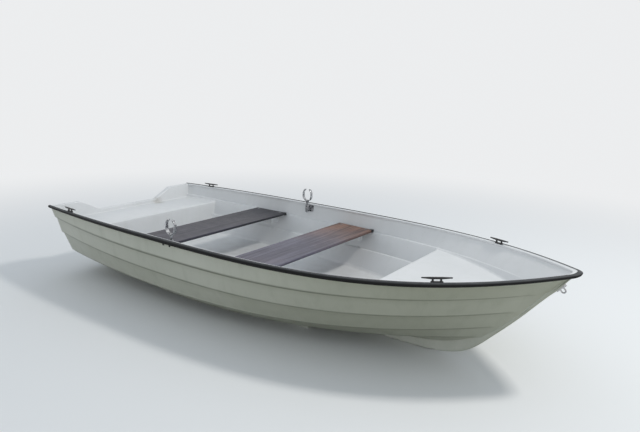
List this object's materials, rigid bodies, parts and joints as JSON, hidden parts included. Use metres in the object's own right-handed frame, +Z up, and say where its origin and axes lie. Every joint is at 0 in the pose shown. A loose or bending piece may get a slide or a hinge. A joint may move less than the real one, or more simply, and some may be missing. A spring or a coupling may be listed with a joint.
{
  "type": "rowing boat",
  "caption": "Small open rowing boat with a lapped moulded hull, wooden thwarts, swivelling rowlocks, rope cleats and a cut-down transom.",
  "frame": {"origin": "on the ground under the middle of the boat's overall length", "axes": "+X to the bow, +Y to port, +Z up"},
  "size_m": [3.5478, 1.4956, 0.6718],
  "materials": {
    "gelcoat": "gloss",
    "black_rubber": "satin",
    "stained_wood": "satin",
    "bright_steel": "satin",
    "stainless": "gloss",
    "black_plastic": "satin"
  },
  "bodies": {
    "boat": {"bilge_runner_port": "gelcoat", "bilge_runner_starboard": "gelcoat", "bow_eye": "stainless", "bow_seat": "gelcoat", "cleat_bow_port": "black_plastic", "cleat_bow_starboard": "black_plastic", "cleat_stern_port": "black_plastic", "cleat_stern_starboard": "black_plastic", "drain_plug": "black_plastic", "hull_shell": "gelcoat", "keel_and_stem": "gelcoat", "rim": "gelcoat", "rowlock_socket_port": "bright_steel", "rowlock_socket_starboard": "bright_steel", "rub_rail": "black_rubber", "sole": "gelcoat", "stern_bench": "gelcoat", "thwart_bearers_centre": "gelcoat", "thwart_bearers_stern": "gelcoat", "thwart_centre": "stained_wood", "thwart_stern": "stained_wood", "transom": "gelcoat"},
    "rowlock_port_swinging": {"rowlock_port": "bright_steel"},
    "rowlock_starboard_swinging": {"rowlock_starboard": "bright_steel"}
  },
  "joints": [
    {"name": "rowlock_port_swivel", "type": "hinge", "parent": "boat", "child": "rowlock_port_swinging", "pos_m": [-0.40246, 0.68888, 0.53599], "axis": [0, 0, 1], "continuous": true},
    {"name": "rowlock_starboard_swivel", "type": "hinge", "parent": "boat", "child": "rowlock_starboard_swinging", "pos_m": [-0.40246, -0.68888, 0.53599], "axis": [0, 0, 1], "continuous": true}
  ]
}
